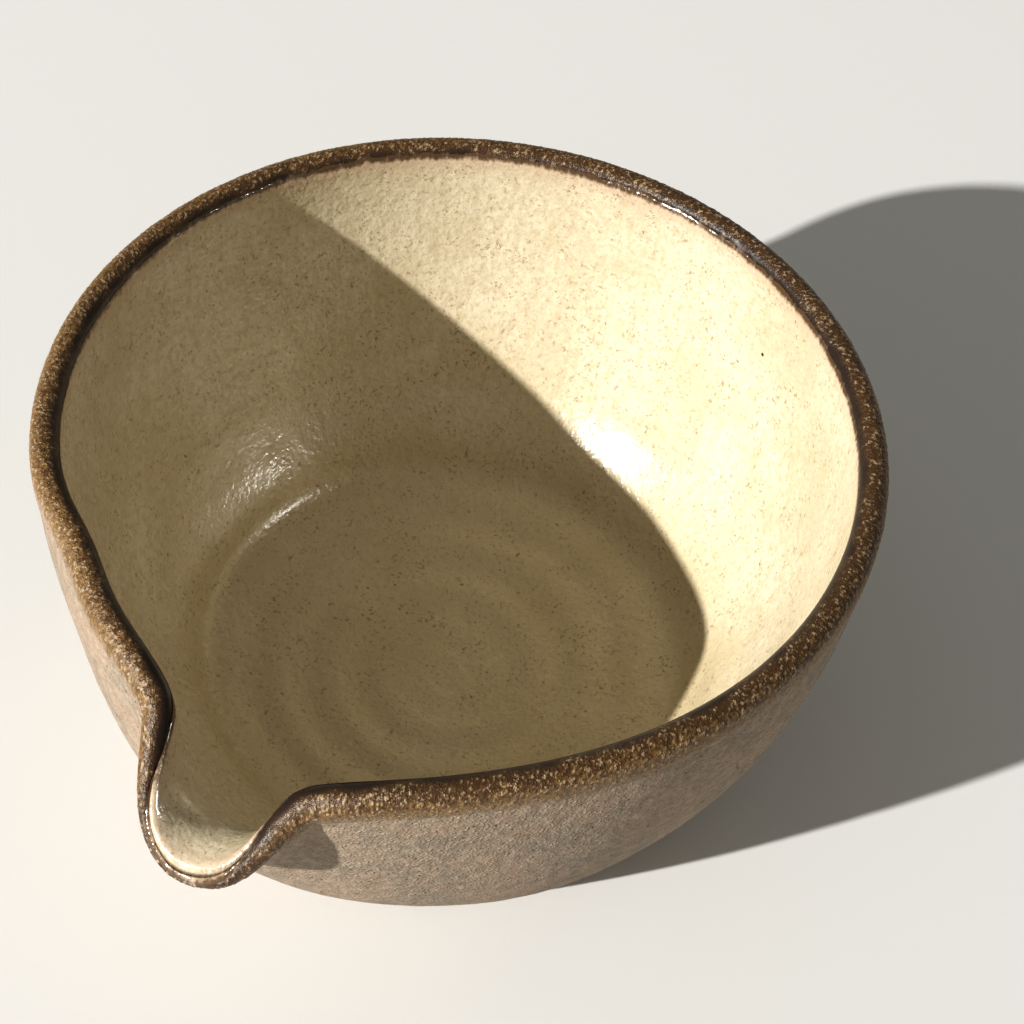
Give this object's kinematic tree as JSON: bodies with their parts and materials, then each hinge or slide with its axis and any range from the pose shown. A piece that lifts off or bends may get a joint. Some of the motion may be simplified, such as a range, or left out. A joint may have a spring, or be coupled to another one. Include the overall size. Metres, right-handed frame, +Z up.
{
  "type": "pouring bowl with pulled spout",
  "caption": "Hand-thrown stoneware bowl with a pulled pouring spout, glazed inside, with a dark rim and bare clay outside, for mixing, holding and pouring.",
  "frame": {"origin": "centre of the flat base, on the bowl's axis, in the plane that the bowl stands on", "axes": "+Z up along the bowl's axis; +X out through the middle of the spout"},
  "size_m": [0.1507, 0.1351, 0.0734],
  "materials": {
    "bare_clay": "rough sandy stoneware, unglazed",
    "cream_glaze": "semi-gloss cream glaze with fine iron specks",
    "iron_glaze": "glossy dark brown iron glaze, grainy on top of the lip"
  },
  "bodies": {
    "root": {"clay_body": "bare_clay", "glaze_lining": "cream_glaze", "rim_glaze": "iron_glaze"}
  },
  "joints": []
}
